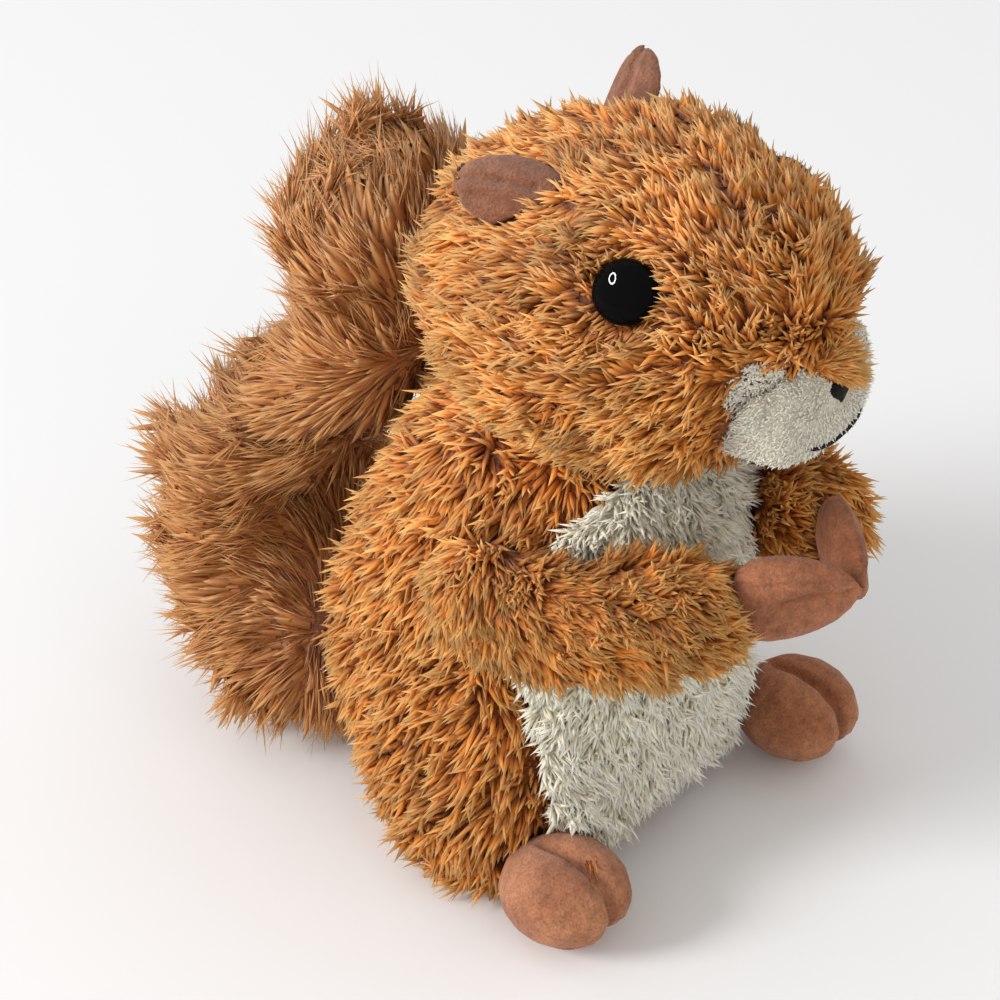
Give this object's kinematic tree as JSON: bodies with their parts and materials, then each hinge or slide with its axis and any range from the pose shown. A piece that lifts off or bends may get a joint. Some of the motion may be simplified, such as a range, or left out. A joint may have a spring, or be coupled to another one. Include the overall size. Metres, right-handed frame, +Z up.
{
  "type": "plush squirrel",
  "caption": "Sitting plush squirrel with a tall curled tail, shaggy orange head and body, white muzzle and belly, and velour ears, paws and feet.",
  "frame": {"origin": "on the flat underside of the body, on the toy's middle plane, where it rests", "axes": "+Z is up, the face looks along -Y, the toy's left side is on +X"},
  "size_m": [0.1226, 0.2065, 0.192],
  "materials": {
    "orange_pile": "shaggy golden-orange plush pile in leaning locks",
    "tail_pile": "long brown brushy plush pile",
    "white_pile": "short off-white plush pile",
    "velour": "short reddish-brown velour",
    "black_gloss": "polished black domed button",
    "black_thread": "black satin stitching"
  },
  "bodies": {
    "root": {"head": "orange_pile", "body": "orange_pile", "right_arm": "orange_pile", "left_arm": "orange_pile", "tail": "tail_pile", "belly_panel": "white_pile", "muzzle": "white_pile", "right_ear": "velour", "left_ear": "velour", "right_paw": "velour", "left_paw": "velour", "right_foot": "velour", "left_foot": "velour", "right_eye": "black_gloss", "left_eye": "black_gloss", "nose_stitching": "black_thread", "mouth_stitch": "black_thread"}
  },
  "joints": []
}
